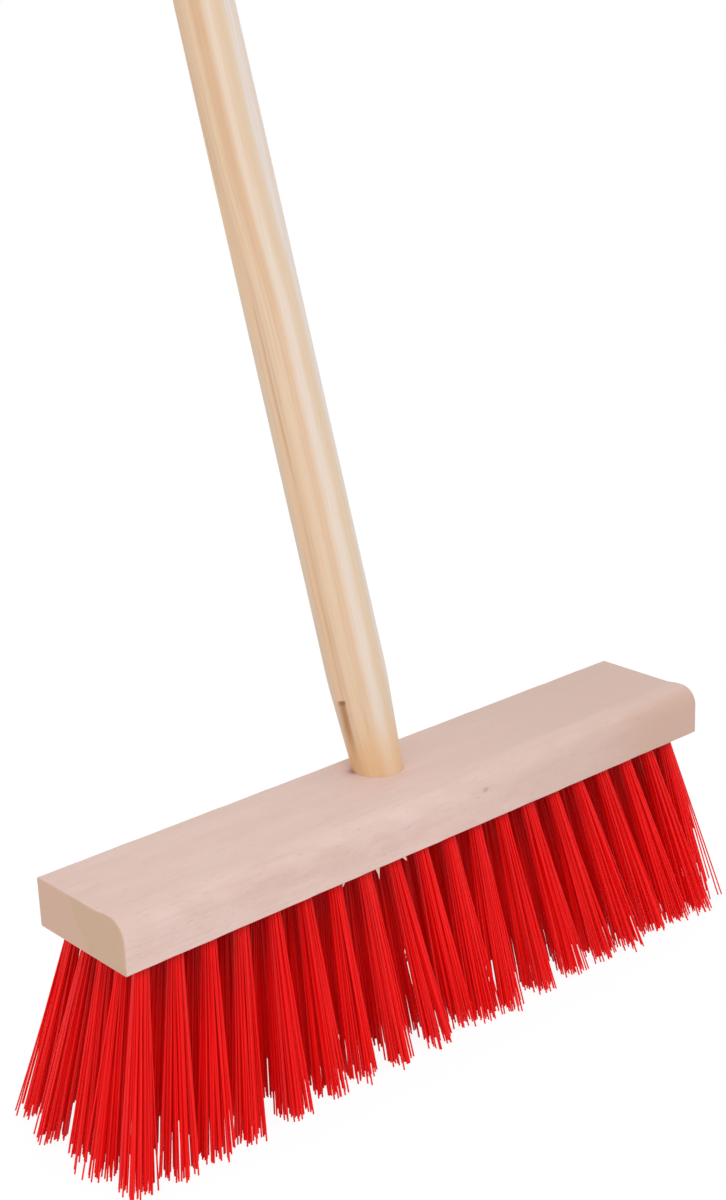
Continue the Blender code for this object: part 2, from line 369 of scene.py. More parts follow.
# %% [markdown]
# ## The handle
# A broom stick is turned from sawn pine. The tool leaves it very slightly out of round, and its
# foot is cut to a taper that jams in the socket. Rings carried along the axis give all of that:
# the radius is the solid's, plus a wander round and along. A small dark split runs down the foot
# where a knot was, so the radius dips there by a shallow groove.

# %% The handle's skin
HANDLE_SIDES = 96
OUT_OF_ROUND = 0.12 * MM
ROUND_WAVE = 310 * MM
OVAL_TWIST = 90 * MM
FREE_ABOVE = 30 * MM
FOOT_TIP = 1.2 * MM
FOOT_FROM = -14 * MM
FOOT_STEP = 1.5 * MM
SHAFT_FROM = 60 * MM
SHAFT_STEP = 10 * MM
TOP_ROUNDING = 12 * MM
TOP_RINGS = 12
SPLIT_FROM = 12 * MM
SPLIT_TO = 42 * MM
SPLIT_ANGLE_DEG = 186.0
SPLIT_DRIFT_DEG = 5.0
SPLIT_WIDTH_DEG = 3.5
SPLIT_DEPTH = 0.5 * MM


def handle_stations():
    """Close stations round the foot and the top, wide ones along the shaft."""
    shaft_to = handle_top - TOP_ROUNDING
    crown = TOP_ROUNDING * np.sin(np.linspace(0, math.pi / 2, TOP_RINGS, endpoint=False))
    return np.concatenate(
        [
            [handle_end, handle_end + FOOT_TIP],
            np.arange(FOOT_FROM, SHAFT_FROM, FOOT_STEP),
            np.arange(SHAFT_FROM, shaft_to, SHAFT_STEP),
            shaft_to + crown,
        ]
    )


def split_depth(s, turn):
    """A groove that is a bell curve across and half a sine wave along."""
    share = np.clip((s - SPLIT_FROM) / (SPLIT_TO - SPLIT_FROM), 0, 1)
    middle = SPLIT_ANGLE_DEG + SPLIT_DRIFT_DEG * share
    across = (np.degrees(turn) - middle) / SPLIT_WIDTH_DEG
    return SPLIT_DEPTH * np.sin(math.pi * share) * np.exp(-(across**2))


def handle_points():
    """Rings of the solid's radius, with the wander, the split and the rounded top."""
    s = handle_stations()[:, None]
    turn = np.linspace(0, math.tau, HANDLE_SIDES, endpoint=False)[None, :]
    into_top = np.clip((s - handle_top + TOP_ROUNDING) / TOP_ROUNDING, 0, 1)
    radius = handle_radius(np.minimum(s, handle_top - TOP_ROUNDING)) * np.sqrt(1 - into_top**2)
    free = np.clip(s / FREE_ABOVE, 0, 1) * (1 - into_top)
    oval = wander(s, ROUND_WAVE) * np.cos(2 * turn + s / OVAL_TWIST)
    radius = radius + free * OUT_OF_ROUND * oval - split_depth(s, turn)
    around = np.cos(turn)[..., None] * handle_side + np.sin(turn)[..., None] * handle_back
    return handle_foot + s[..., None] * handle_axis + radius[..., None] * around


points = handle_points()
handle = make_piece("handle_wood", points, tube_faces(1, *points.shape[:2]))
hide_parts("handle")
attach(handle, "handle")
print("handle rings and sides:", points.shape[:2])

# %% [markdown]
# ## The bristles
# Each tuft is some sixty stiff plastic bristles, folded at the bottom of its hole, so they leave
# the hole tightly packed and spread to twice that width, where neighbouring tufts touch. Hair
# particles could do this, but plain tubes export as meshes and can be counted. A sunflower
# pattern packs the roots: bristle i of n stands at radius R sqrt(i / n) and turns by the golden
# angle each time, which leaves no gaps or rows.

# %% Sizes of the bristles
BRISTLE_RADIUS = 0.46 * MM
BRISTLE_SIDES = 5
BRISTLES_PER_TUFT = 64
ROOT_RADIUS = 3.6 * MM
GOLDEN_ANGLE = math.pi * (3 - math.sqrt(5))
IN_HOLE = 8 * MM
LENGTH = 104.5 * MM
BEND_STATIONS = np.array([0.0, 0.12, 0.4, 0.7, 1.0])
FAN_X = np.array([-185, -147, -120, -100, -64, -19, 30, 80, 134, 162, 182]) * MM
FAN_LEAN = (-0.226, -0.157, -0.161, -0.057, -0.017, 0.119, 0.03, 0.203, 0.246, 0.243, 0.112)
SIDE_LEAN = 0.173
TIP_GROWTH = 1.39
chance = np.random.default_rng(7)


def sunflower(count, turn):
    """Points (sqrt(i / n) cos, sqrt(i / n) sin) of i golden angles, inside a circle of radius 1."""
    number = np.arange(count) + 0.5
    angle = GOLDEN_ANGLE * number + turn
    return np.sqrt(number / count)[:, None] * np.stack([np.cos(angle), np.sin(angle)], -1)


# %% [markdown]
# A bristle is a nearly straight line at first. Three things move its tip: the whole brush fans out
# towards its ends and sides, each tuft leans by a little of its own, and single bristles stray.
# Sweeping has set the fan askew: it stands upright left of the middle and leans most at the right,
# so its slope is read from a few stations along the block. Ragged ends come from uneven lengths.
# In the tuft at the right front corner most of the bristles have worn short.

# %% Lines through the bristles of one tuft
TUFT_LEAN_JITTER = 0.012
STRAY_SLOPE = 0.012
STRAY_CURL = 0.006
WORN_LENGTHS = (40 * MM, 96 * MM)
TUFT_LENGTH_JITTER = 1.0 * MM
LENGTH_JITTER = 1.7 * MM
LONGEST = 3.5 * MM
SHORTEST = 9.0 * MM


def bristle_lines(line, row):
    """For each bristle of a tuft, the points that its middle line passes through."""
    centre = tuft_place(line, row)
    fan = np.array([np.interp(centre[0], FAN_X, FAN_LEAN), SIDE_LEAN * centre[1] / row_y[-1]])
    lean = fan + chance.normal(0, TUFT_LEAN_JITTER, 2)
    packed = sunflower(BRISTLES_PER_TUFT, chance.uniform(0, math.tau)) * ROOT_RADIUS
    own = chance.normal(0, STRAY_SLOPE, (BRISTLES_PER_TUFT, 2))
    curl = chance.normal(0, STRAY_CURL, (BRISTLES_PER_TUFT, 2))
    uneven = chance.normal(0, LENGTH_JITTER, BRISTLES_PER_TUFT)
    uneven = uneven + chance.normal(0, TUFT_LENGTH_JITTER)
    length = LENGTH + np.clip(uneven, -SHORTEST, LONGEST)
    if (line, row) == WORN_TUFT:
        length = np.minimum(length, chance.uniform(*WORN_LENGTHS, BRISTLES_PER_TUFT))
    down = length[:, None] * BEND_STATIONS
    share = BEND_STATIONS[None, :, None]
    spread = packed[:, None, :] * (1 + TIP_GROWTH * share)
    slope = (lean + own[:, None, :] + curl[:, None, :] * share) * down[..., None]
    below = np.concatenate([centre + spread + slope, (underside - down)[..., None]], axis=-1)
    fold = np.full((BRISTLES_PER_TUFT, 1), underside + IN_HOLE)
    root = np.concatenate([centre + packed, fold], axis=-1)
    return np.concatenate([root[:, None, :], below], axis=1)


# %% [markdown]
# A few bristles have been bent out of their tufts for good. They show past both ends of the brush.
# Each is one more line, from the rim of its tuft to its own tip.

# %% Strays
STRAYS = {
    (0, 4): [(-0.27, 0.2)],
    (0, 1): [(-0.33, -0.05), (-0.30, -0.06), (-0.31, -0.09)],
    (0, 2): [(-0.31, -0.08), (-0.33, -0.11)],
    (LINES - 1, 0): [(0.27, -0.18), (0.25, -0.17), (0.18, -0.17), (0.16, -0.16)],
}


def stray_lines(line, row):
    """Straight lines from the tuft's rim, each with its own slope."""
    centre = np.array([*tuft_place(line, row), underside])
    slopes = np.array(STRAYS[line, row])
    rim = slopes / np.linalg.norm(slopes, axis=1)[:, None] * ROOT_RADIUS
    down = np.tile(LENGTH * BEND_STATIONS[:, None], (len(rim), 1, 1))
    below = np.concatenate([rim[:, None, :] + slopes[:, None, :] * down, -down], -1)
    root = np.concatenate([rim, np.full((len(rim), 1), IN_HOLE)], -1)
    return centre + np.concatenate([root[:, None, :], below], axis=1)


# %% [markdown]
# Little daylight gets in among the roots, and that shade is painted into the bristles' colour. How
# dark a bristle should be there depends on how far inside the brush it stands, so that is worked
# out from its root and kept with it, as a number from 0 at the outermost bristles towards 1 in the
# middle.

# %% How far inside a bristle stands
DAYLIGHT_REACH = 5 * MM


def inner_share(roots):
    """1 - exp(-d / reach), where d is how far a root lies inside the box round all the tufts."""
    low = np.array([line_x[0], row_y[0]]) - ROOT_RADIUS
    high = np.array([line_x[-1], row_y[-1]]) + ROOT_RADIUS
    inside = np.minimum(roots[:, :2] - low, high - roots[:, :2]).min(axis=1)
    return 1 - np.exp(-np.maximum(inside, 0) / DAYLIGHT_REACH)


# %% [markdown]
# A line becomes a tube when a small ring is added to each of its points. The lines all run nearly
# straight down, so one flat ring does for every point, and its few corners keep the mesh light.

# %% Tubes round the lines
def tubes(lines, radius, sides):
    """Point plus r (cos a, sin a, 0) for the points of many lines, with a random turn for each."""
    start = chance.uniform(0, math.tau, (len(lines), 1))
    turn = np.linspace(0, math.tau, sides, endpoint=False) + start
    ring = radius * np.stack([np.cos(turn), np.sin(turn), np.zeros_like(turn)], -1)
    return lines[:, :, None, :] + ring[:, None, :, :]


def make_bristles(line):
    """One piece for each line of tufts, in the place of the solid with its number."""
    parts = [bristle_lines(line, row) for row in range(ROWS) if has_tuft(line, row)]
    parts += [stray_lines(*tuft) for tuft in STRAYS if tuft[0] == line]
    lines = np.concatenate(parts)
    points = tubes(lines, BRISTLE_RADIUS, BRISTLE_SIDES)
    piece = make_piece(f"bristles_{line + 1:02d}", points, tube_faces(*points.shape[:3]))
    per_bristle = {"shade": chance.uniform(0, 1, len(lines)), "inner": inner_share(lines[:, 0])}
    for name, values in per_bristle.items():
        attribute = piece.data.attributes.new(name, "FLOAT", "POINT")
        attribute.data.foreach_set("value", np.repeat(values, points.shape[1] * points.shape[2]))
    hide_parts(f"tuft_line_{line + 1:02d}")
    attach(piece, "head")
    return piece


bristles = [make_bristles(line) for line in range(LINES)]
print("bristles:", len(tufts) * BRISTLES_PER_TUFT, "strays:", sum(map(len, STRAYS.values())))

# %% [markdown]
# ## Splinters
# Where the drill tore the beech, a few chips of it still hang under the front edge. Each is a thin
# tongue of wood, so it can be a tube again, with a flat section that shrinks almost to a point.

# %% Chips under the front edge
CHIP_PLACES = np.array([-67.4, -46.2, -44.8, -27.7]) * MM
CHIP_LENGTHS = np.array([2.6, 4.0, 6.5, 3.2]) * MM
CHIP_WIDTHS = np.array([2.4, 1.5, 2.0, 3.0]) * MM
CHIP_SLOPES = np.array([-0.5, 0.2, -0.05, 0.6])
CHIP_THICKNESS = 0.5 * MM
CHIP_LEAN = 0.15
CHIP_POINTING = 0.9
CHIP_SIDES = 8
CHIP_ROWS = 6


def chip_points():
    """Rings (half width x cos a, half thickness x sin a) down a slanted line, each ring smaller."""
    share = np.linspace(0, 1, CHIP_ROWS)
    turn = np.linspace(0, math.tau, CHIP_SIDES, endpoint=False)
    size = (1 - CHIP_POINTING * share)[None, :, None]
    down = CHIP_LENGTHS[:, None, None] * share[None, :, None]
    x = CHIP_PLACES[:, None, None] + CHIP_SLOPES[:, None, None] * down
    x = x + CHIP_WIDTHS[:, None, None] / 2 * size * np.cos(turn)
    y = block_low[1] + EDGE_RADIUS + CHIP_THICKNESS - CHIP_LEAN * down
    y = y + CHIP_THICKNESS / 2 * size * np.sin(turn)
    z = underside + CHIP_THICKNESS - down
    return np.stack(np.broadcast_arrays(x, y, z), -1)


points = chip_points()
splinters = make_piece("splinters", points, tube_faces(*points.shape[:3]))
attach(splinters, "head")
print("splinters:", len(points))

# %% [markdown]
# ## Shader sums in plain Python
# A material is a net of nodes, and most of them do sums. This small class wraps a node's output
# so that an expression on it adds the Math nodes: 1 - mask becomes a subtraction. Every other
# node comes from one method, which takes the type, the settings and the sockets.

# %% Sockets that can be added and multiplied
class Socket:
    """The output of a node, which works in sums."""

    def __init__(self, finish, link):
        self.finish = finish
        self.link = link

    def also(self, output):
        """Another output of the same node."""
        return Socket(self.finish, self.link.node.outputs[output])

    def math(self, operation, *values):
        """A Math node on this socket and the other values."""
        inputs = dict(enumerate((self, *values)))
        return self.finish.node("ShaderNodeMath", {"operation": operation}, inputs)

    def between(self, low, high):
        """0 below low, 1 above high and a smooth step between them."""
        settings = {"interpolation_type": "SMOOTHSTEP", "clamp": True}
        inputs = {"Value": self, "From Min": low, "From Max": high}
        return self.finish.node("ShaderNodeMapRange", settings, inputs)

    def window(self, rise, full, fade, gone):
        """0 below rise, 1 from full to fade and 0 again above gone, with smooth steps between."""
        return self.between(rise, full) * (1 - self.between(fade, gone))

    def __add__(self, other):
        return self.math("ADD", other)

    def __sub__(self, other):
        return self.math("SUBTRACT", other)

    def __rsub__(self, other):
        return self.finish.node("ShaderNodeMath", {"operation": "SUBTRACT"}, {0: other, 1: self})

    def __mul__(self, other):
        return self.math("MULTIPLY", other)

    def __pow__(self, other):
        return self.math("POWER", other)

    __radd__ = __add__
    __rmul__ = __mul__


# %% One finish, one node maker
class Finish:
    """A material or a sky with its shader, and the one method that adds nodes to it."""

    def __init__(self, owner, shader="Principled BSDF", **constants):
        owner.use_nodes = True
        self.owner = owner
        self.tree = owner.node_tree
        self.shader = self.tree.nodes[shader]
        for socket, value in constants.items():
            self.shader.inputs[socket.replace("_", " ")].default_value = value

    def node(self, kind, settings=(), inputs=(), output=0):
        """A new node: its settings first, then a value or a link for every socket named."""
        made = self.tree.nodes.new(kind)
        for name, value in dict(settings).items():
            setattr(made, name, value)
        for name, value in dict(inputs).items():
            if isinstance(value, Socket):
                self.tree.links.new(value.link, made.inputs[name])
            else:
                made.inputs[name].default_value = value
        return Socket(self, made.outputs[output])

    def feed(self, socket, value):
        """Link a varying value to the shader."""
        self.tree.links.new(value.link, self.shader.inputs[socket])

    def axes(self, place):
        """The x, y and z of a place."""
        x = self.node("ShaderNodeSeparateXYZ", {}, {"Vector": place}, "X")
        return x, x.also("Y"), x.also("Z")

    def noise(self, place, size, detail=2.0, roughness=0.5):
        """Noise between about 0.2 and 0.8, in blobs of a size in metres along x, y and z."""
        scale = tuple(1 / length for length in size)
        stretched = self.node("ShaderNodeMapping", {}, {"Vector": place, "Scale": scale})
        inputs = {"Vector": stretched, "Scale": 1.0, "Detail": detail, "Roughness": roughness}
        return self.node("ShaderNodeTexNoise", {}, inputs)

    def distance(self, place, point, shares=(1.0, 1.0, 1.0)):
        """How far a place lies from a point, each axis counted by its share."""
        multiply = {"operation": "MULTIPLY"}
        squashed = self.node("ShaderNodeVectorMath", multiply, {0: place, 1: shares})
        target = tuple(share * value for share, value in zip(shares, point))
        inputs = {0: squashed, 1: target}
        return self.node("ShaderNodeVectorMath", {"operation": "DISTANCE"}, inputs, "Value")

    def blend(self, factor, first, second):
        """A colour between two, with a Mix node, whose sockets for colours are 6, 7 and 2."""
        inputs = {0: factor, 6: first, 7: second}
        return self.node("ShaderNodeMix", {"data_type": "RGBA"}, inputs, 2)

    def coats(self, colour, *layers):
        """Paints laid over a colour one after another, each by its share."""
        for share, coat in layers:
            colour = self.blend(share, colour, coat)
        return colour

    def bump(self, height, distance):
        """Feed a height in shares of a distance to the shader's normal."""
        inputs = {"Height": height, "Distance": distance, "Strength": 1.0}
        self.feed("Normal", self.node("ShaderNodeBump", {}, inputs))


def new_finish(name, **constants):
    """The finish of a new material."""
    return Finish(bpy.data.materials.new(name), **constants)


def dress(pieces, material):
    """Give the pieces a material, as the only one that they have."""
    for piece in pieces:
        piece.data.materials.clear()
        piece.data.materials.append(material)
    print(material.name, "nodes:", len(material.node_tree.nodes))


def paint(red, green, blue):
    """A colour named as on a screen, from 0 to 255, turned into the linear values of a shader."""
    shares = [value / 255 for value in (red, green, blue)]
    linear = [s / 12.92 if s <= 0.04045 else ((s + 0.055) / 1.055) ** 2.4 for s in shares]
    return (*linear, 1.0)


# %% [markdown]
# ## Beech
# Beech is pale pink-brown and very even. What gives it away are short dark flecks along the
# grain, wide soft bands from the growth of the tree, and an end grain that drinks light and looks
# tan. A wood texture with rings would be too bold here. All patterns are noise, stretched along
# X, and each takes the colour a little way towards one more paint. How far is the share that it
# is multiplied by. This bar is mottled most on its milled front, and its lower edge is painted
# paler, a painted light for the light that the floor throws up. Towards one end the bar turns
# darker, partly by a tan tone of the wood and partly by painted shade where the light falls off,
# which is weaker on the nose and the lip, so they keep a painted highlight.

# %% The block's long faces
BEECH_PALE = paint(229, 203, 194)
BEECH_WARM = paint(219, 187, 175)
BEECH_BOUNCE_LIGHT = paint(237, 210, 201)
BEECH_STREAK_AND_SHADE = paint(211, 182, 171)
BEECH_TAN_AND_SHADE = paint(202, 166, 146)
BEECH_FLECK_AND_SHADE = paint(196, 160, 146)
MOTTLES = (22 * MM, 8 * MM, 8 * MM)
STREAKS = (45 * MM, 1.8 * MM, 1.8 * MM)
RAGS = (30 * MM, 5 * MM, 5 * MM)
RAG_REACH = 60 * MM
FRONT_FADES = (1 * MM, 9 * MM)
NOSE_HIGHLIGHT_RISES = (1 * MM, 5 * MM)
BOUNCE_LIGHT_FADES = (1 * MM, 11 * MM)
FALLOFF_SHADE_RISES = (10 * MM, 150 * MM)
TAN_AND_SHADE_RISES = (132 * MM, 200 * MM)


def beech_face(finish, place, clouds, fibres, flecks):
    """Paints by the patterns, flecks, painted light low in front, and tan and painted shade at one
    end.
    """
    x, y, z = finish.axes(place)
    inwards = y - block_low[1]
    front = 1 - inwards.between(*FRONT_FADES)
    nose = inwards.window(*NOSE_HIGHLIGHT_RISES, LIP_CREST, LIP_FOOT)
    mottles = finish.noise(place, MOTTLES).between(0.35, 0.65)
    warm = 0.28 + clouds * 0.3 + fibres * 0.12 + mottles * 0.12
    warm = warm + front * (mottles - 0.5) * 0.33
    # Painted light: the front's lower edge turns paler, for light thrown up by the floor.
    bounce_lit_front = front * (1 - (z - underside).between(*BOUNCE_LIGHT_FADES))
    streaks = finish.noise(place, STREAKS, roughness=0.6).between(0.5, 0.72)
    along = x + finish.noise(place, RAGS) * RAG_REACH
    return finish.coats(
        finish.blend(warm, BEECH_PALE, BEECH_WARM),
        (bounce_lit_front * 0.35, BEECH_BOUNCE_LIGHT),
        (streaks * 0.35, BEECH_STREAK_AND_SHADE),
        # Painted shade towards the right end, less on the nose and lip, which keeps a painted
        # highlight; the tan after it is partly the wood's own tone and partly painted shade.
        (along.between(*FALLOFF_SHADE_RISES) * (0.8 - nose * 0.5), BEECH_STREAK_AND_SHADE),
        (along.between(*TAN_AND_SHADE_RISES) * (0.15 + front * 0.55), BEECH_TAN_AND_SHADE),
        (flecks * 0.26, BEECH_FLECK_AND_SHADE),
    )


# %% [markdown]
# A pin knot in its front, drawn out along the grain, tells this bar from others. Beside the
# socket lies a painted shadow, darkest at the rim where the handle's foot meets the block. Both
# are soft spots that fade with the distance from a point, which is simpler than a shape of their
# own and as clear at their size.

# %% A knot and a painted shadow by the socket
BEECH_KNOT_AND_SHADE = paint(158, 112, 96)
KNOT_PLACE = (30.5 * MM, -35.3 * MM, -7.3 * MM)
KNOT_RADIUS = 2.1 * MM
KNOT_SHARES = (0.6, 1.0, 1.0)
SOCKET_SHADOW_PLACE = (-12.6 * MM, 19.5 * MM, 0.0)
SOCKET_SHADOW_REACH = 10 * MM


def beech_spots(finish, place, colour):
    """A colour with the knot and the painted shadow by the socket, darkest at the socket's rim."""
    knot = 1 - finish.distance(place, KNOT_PLACE, KNOT_SHARES).between(0.0, KNOT_RADIUS)
    # Painted shadow beside the socket, with a darker core at its rim.
    from_socket_shadow = finish.distance(place, SOCKET_SHADOW_PLACE)
    socket_shadow = 1 - from_socket_shadow.between(0.0, SOCKET_SHADOW_REACH)
    socket_rim_shadow = 1 - from_socket_shadow.between(SOCKET_SHADOW_REACH / 8, SOCKET_SHADOW_REACH / 2)
    return finish.coats(
        colour,
        (knot * 0.4, BEECH_KNOT_AND_SHADE),
        (socket_shadow * 0.5, BEECH_FLECK_AND_SHADE),
        (socket_rim_shadow * 0.75, BEECH_KNOT_AND_SHADE),
    )


# %% [markdown]
# The saw cut shows the tree's rings, its pores as dots, and a slanted border where its darker
# heart begins. Rings and border are both distances from the pith, a line along X that lay far
# outside the bar. So the distance counts y and z alone.

# %% The block's ends
BEECH_END = paint(214, 175, 155)
BEECH_END_TAN = paint(206, 173, 145)
PORES = (5 * MM, 0.45 * MM, 0.45 * MM)
PITH_PLACE = (0.0, -127 * MM, 63.5 * MM)
PITH_SHARES = (0.0, 1.0, 1.0)
RING_WANDER = 2 * MM
RING_WIDTH = 9 * MM
HEART_RADIUS = 150 * MM
HEART_BORDER = 1.5 * MM


def beech_end(finish, place, clouds):
    """Two tans, mixed by the heart, by a sine wave for the rings and by the pores."""
    from_pith = finish.distance(place, PITH_PLACE, PITH_SHARES) + clouds * RING_WANDER
    rings = (from_pith * (math.tau / RING_WIDTH)).math("SINE") * 0.5 + 0.5
    heart = 1 - from_pith.between(HEART_RADIUS, HEART_RADIUS + HEART_BORDER)
    pores = finish.noise(place, PORES, 1.0)
    return finish.blend(heart * 0.8 + rings * 0.1 + pores * 0.2, BEECH_END, BEECH_END_TAN)


# %% [markdown]
# The finish shows the end grain wherever a point lies within a thin skin of either end, and the
# long faces' colour elsewhere. The fibres also stand up a little and the flecks lie low.

# %% The block's finish
CLOUDS = (90 * MM, 14 * MM, 14 * MM)
FIBRES = (16 * MM, 0.7 * MM, 0.7 * MM)
FLECKS = (4.5 * MM, 0.7 * MM, 0.9 * MM)
END_SKIN = 0.9 * MM
BEECH_RELIEF = 0.12 * MM


def beech_finish():
    """Long faces, blemishes and ends in one colour, and the grain in roughness and bump."""
    finish = new_finish("beech", IOR=1.45)
    place = finish.node("ShaderNodeTexCoord", output="Object")
    clouds = finish.noise(place, CLOUDS, 3.0).between(0.3, 0.7)
    fibres = finish.noise(place, FIBRES)
    flecks = finish.noise(place, FLECKS, 1.0).between(0.62, 0.74)
    colour = beech_spots(finish, place, beech_face(finish, place, clouds, fibres, flecks))
    from_middle = finish.axes(place)[0].math("ABSOLUTE")
    at_end = from_middle.between(block_high[0] - END_SKIN, block_high[0] - END_SKIN / 3)
    finish.feed("Base Color", finish.blend(at_end, colour, beech_end(finish, place, clouds)))
    finish.feed("Roughness", 0.56 + fibres * 0.14)
    finish.bump(fibres * 0.6 + flecks * -0.4, BEECH_RELIEF)
    return finish.owner


dress([block, splinters], beech_finish())

# %% [markdown]
# ## Pine
# The stick was sawn so that the growth layers lie nearly flat in it, edge on to the viewer. Each
# streak is one layer. The saw didn't quite follow the grain, so the streaks run straight for a
# while and then cross to one side. So the colour is a function of the place across the stick, plus
# a smooth step of the place along it. Mapping turns the object's coordinates until z runs up the
# handle.

# %% The handle's coordinates
VIEW_TURN_DEG = 37.7


def handle_coordinates(finish):
    """Object coordinates moved to the handle's foot and turned upright, then to face the viewer."""
    lean = math.atan2(handle_axis[1], handle_axis[2])
    place = finish.node("ShaderNodeTexCoord", output="Object")
    upright = Matrix.Rotation(lean, 4, "X") @ Matrix.Translation(-Vector(handle_foot))
    turned = Matrix.Rotation(math.radians(VIEW_TURN_DEG), 4, "Z") @ upright
    inputs = {"Vector": place, "Location": turned.to_translation(), "Rotation": turned.to_euler()}
    return finish.node("ShaderNodeMapping", {"vector_type": "POINT"}, inputs)


# %% [markdown]
# Across the stick the layers come in an order that never changes, so a colour ramp holds them.
# Its input runs from 0 at the left of the stick to 1 at its right. High up the streaks shift by a
# sixth of the width, those on the right a little sooner. Further up they wander, and a little
# noise makes their borders ragged.

# %% The growth layers
PINE_PALE = paint(231, 214, 198)
PINE_BODY = paint(232, 202, 169)
PINE_DULL = paint(222, 197, 168)
PINE_WARM = paint(224, 189, 154)
PINE_SIDE_LIGHT = paint(235, 197, 159)
PINE_TAWNY = paint(226, 193, 161)
PINE_EDGE_LIT = paint(223, 201, 178)
PINE_RIM_LIGHT = paint(225, 214, 206)
LAYERS = (
    (0.04, PINE_DULL),
    # Painted light: this stop is made brighter to make up for the shade on that side of the stick.
    (0.12, PINE_SIDE_LIGHT),
    (0.19, PINE_WARM),
    (0.25, PINE_WARM),
    (0.33, PINE_BODY),
    (0.40, PINE_BODY),
    (0.48, PINE_TAWNY),
    (0.57, PINE_TAWNY),
    (0.67, PINE_PALE),
    (0.76, PINE_PALE),
    (0.84, PINE_DULL),
    (0.90, PINE_DULL),
    # Painted rim light: the right edge turns paler and greyer towards white.
    (0.95, PINE_EDGE_LIT),
    (1.00, PINE_RIM_LIGHT),
)
WOBBLES = (90 * MM, 90 * MM, 300 * MM)
LAYER_RAGS = (9 * MM, 9 * MM, 40 * MM)
LAYERS_WIDE = 31 * MM
SHIFT_RISES = (225 * MM, 345 * MM)
SOONER_RISES = (145 * MM, 215 * MM)
SOONER_ACROSS = (0.5, 0.75)
WANDER_RISES = (400 * MM, 900 * MM)
SHIFT_BY = 0.165
SOONER_BY = 0.03
WANDER_BY = 0.9
RAG_BY = 0.045


def place_across(finish, place, u, s):
    """u over the width, plus a smooth step of s, a wobble that grows with s, and ragged noise."""
    wobble = finish.noise(place, WOBBLES, 1.0) - 0.5
    ragged = finish.noise(place, LAYER_RAGS) - 0.5
    across = u * (1 / LAYERS_WIDE) + 0.5
    high = s.between(*SHIFT_RISES)
    sooner = (s.between(*SOONER_RISES) - high) * across.between(*SOONER_ACROSS)
    across = across + high * SHIFT_BY + sooner * SOONER_BY
    across = across + wobble * s.between(*WANDER_RISES) * WANDER_BY + ragged * RAG_BY
    return across, wobble


def layer_colour(finish, across):
    """The layers' colours by their place across the stick, from 0 to 1, and stops of painted light.
    """
    ramp = finish.node("ShaderNodeValToRGB", {}, {"Fac": across}, "Color")
    stops = ramp.link.node.color_ramp.elements
    for number, (place, colour) in enumerate(LAYERS):
        stop = stops[number] if number < len(stops) else stops.new(place)
        stop.position = place
        stop.color = colour
    return ramp


# %% [markdown]
# Between the layers lie finer things: an amber layer and a dull one that only show high up, soft
# bands, thin brown lines of late wood that come and go in patches, and the fibres. Each is a
# narrow window of the place across or a stretched noise, and a coat of paint over the layers.

# %% The fine grain
PINE_ORANGE = paint(224, 168, 122)
PINE_AMBER = paint(211, 163, 122)
PINE_LATE = paint(196, 152, 112)
PATCHES = (6 * MM, 6 * MM, 60 * MM)
BANDS = (1.9 * MM, 1.9 * MM, 120 * MM)
LINES_ACROSS = 13
LINES_FADE = (0.45, 0.6)
PLAIN_FADES = (0.76, 0.9)
AMBER_RISES = (220 * MM, 340 * MM)
AMBER_ACROSS = (0.39, 0.47, 0.54, 0.65)
DULL_ACROSS = (0.73, 0.78, 0.84, 0.9)
LATE_ACROSS = (0.175, 0.195, 0.2, 0.215)


def late_lines(across, wobble, patches):
    """The fourth power of a sine wave across, in the left half of the stick."""
    wave = (across * (math.tau * LINES_ACROSS) + wobble * 5.0).math("SINE") * 0.5 + 0.5
    return wave**4.0 * patches * (1 - across.between(*LINES_FADE))


def pine_grain(finish, place, across, s, patches):
    """The layers, plainer high up, then the amber and the dull layer, bands and a late line."""
    high = s.between(*SHIFT_RISES)
    plain = high * (1 - across.between(*PLAIN_FADES))
    amber = across.window(*AMBER_ACROSS) * s.between(*AMBER_RISES)
    dull = high * across.window(*DULL_ACROSS)
    bands = finish.noise(place, BANDS).between(0.46, 0.58)
    late = across.window(*LATE_ACROSS) * patches
    return finish.coats(
        layer_colour(finish, across),
        (plain * 0.35, PINE_BODY),
        (amber * (0.45 + patches * 0.35), PINE_AMBER),
        (dull * 0.6, PINE_DULL),
        (bands * (1 - high) * 0.24, PINE_PALE),
        (bands * high * 0.32, PINE_WARM),
        (late * 0.55, PINE_LATE),
    )


# %% [markdown]
# The foot is more orange where the tool cut into deeper wood, and a knot has left a dark streak
# there that runs down beside the split, with a dot at its upper end. Both lie on the side that
# the photograph shows, so a step of the depth keeps them off the back.

# %% The foot's colours
PINE_FOOT = paint(232, 184, 129)
PINE_SPLIT = paint(166, 112, 60)
PINE_KNOT = paint(132, 78, 42)
FOOT_FADES = (2 * MM, 34 * MM)
FOOT_PALER = (0.45, 0.8)
DEPTH_FADES = (-4 * MM, 0.0)
STREAK_ACROSS = (0.03, 0.16, 0.16, 0.24)
STREAK_ALONG = (-2 * MM, 30 * MM, 39 * MM, 41 * MM)
DOT_ACROSS = (0.07, 0.13, 0.19, 0.23)
DOT_ALONG = (37 * MM, 39.5 * MM, 40 * MM, 41 * MM)


def pine_foot(finish, colour, across, s, depth):
    """A colour with the orange foot, the streak and the dot laid over it."""
    low = (1 - s.between(*FOOT_FADES)) * (1 - across.between(*FOOT_PALER) * 0.1)
    front = 1 - depth.between(*DEPTH_FADES)
    streak = across.window(*STREAK_ACROSS) * s.window(*STREAK_ALONG) * front
    dot = across.window(*DOT_ACROSS) * s.window(*DOT_ALONG) * front
    return finish.coats(
        colour,
        (low * 0.6, PINE_FOOT),
        (streak * 0.8, PINE_SPLIT),
        (dot * 0.7, PINE_KNOT),
    )


